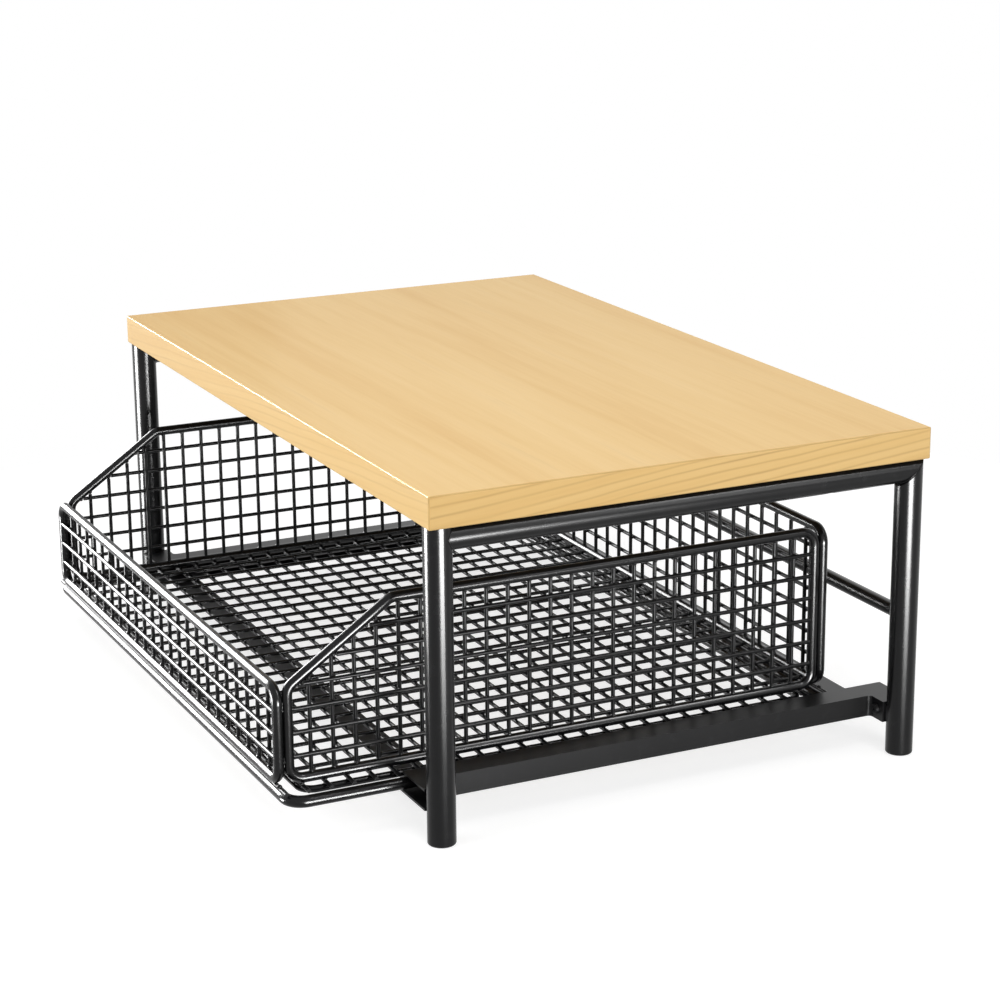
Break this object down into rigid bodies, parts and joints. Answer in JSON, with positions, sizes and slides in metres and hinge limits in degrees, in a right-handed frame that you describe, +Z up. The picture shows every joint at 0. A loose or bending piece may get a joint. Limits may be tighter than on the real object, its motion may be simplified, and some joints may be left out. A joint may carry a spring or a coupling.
{
  "type": "microwave stand with drawer",
  "caption": "Free-standing metal stand with a wooden top for a microwave oven, and a wire basket drawer that slides forward in runners between the legs.",
  "frame": {"origin": "centre of the top board's upper face", "axes": "+X to the right along the long side, +Y to the back (the drawer pulls out towards -Y), +Z up"},
  "size_m": [0.6, 0.4533, 0.235],
  "materials": {
    "board": "satin lacquered pale wood grain",
    "frame": "gloss black",
    "basket": "gloss black",
    "plug": "matte black",
    "glide": "matte black",
    "screw": "black"
  },
  "bodies": {
    "frame": {"board_screws": "screw", "crossbar_front": "frame", "crossbar_rear": "frame", "foot_plug_front_left": "plug", "foot_plug_front_right": "plug", "foot_plug_rear_left": "plug", "foot_plug_rear_right": "plug", "frame_screws": "screw", "front_glide_left": "glide", "front_glide_right": "glide", "leg_front_left": "frame", "leg_front_right": "frame", "leg_rear_left": "frame", "leg_rear_right": "frame", "leg_tongue_front_left": "frame", "leg_tongue_front_right": "frame", "leg_tongue_rear_left": "frame", "leg_tongue_rear_right": "frame", "rear_bar": "frame", "runner_left": "frame", "runner_right": "frame", "top_board": "board", "top_rail_left": "frame", "top_rail_right": "frame"},
    "drawer": {"base_ring": "basket", "floor_cross_wires": "basket", "floor_long_wires": "basket", "floor_rim": "basket", "front_mesh": "basket", "front_rim": "basket", "rear_glide_left": "glide", "rear_glide_right": "glide", "rear_mesh": "basket", "rear_rim": "basket", "side_mesh_left": "basket", "side_mesh_right": "basket", "side_rim_left": "basket", "side_rim_right": "basket"}
  },
  "joints": [
    {"name": "drawer_slide", "type": "slide", "parent": "frame", "child": "drawer", "axis": [0, -1, 0], "range_m": [-0.024, 0.256]}
  ]
}
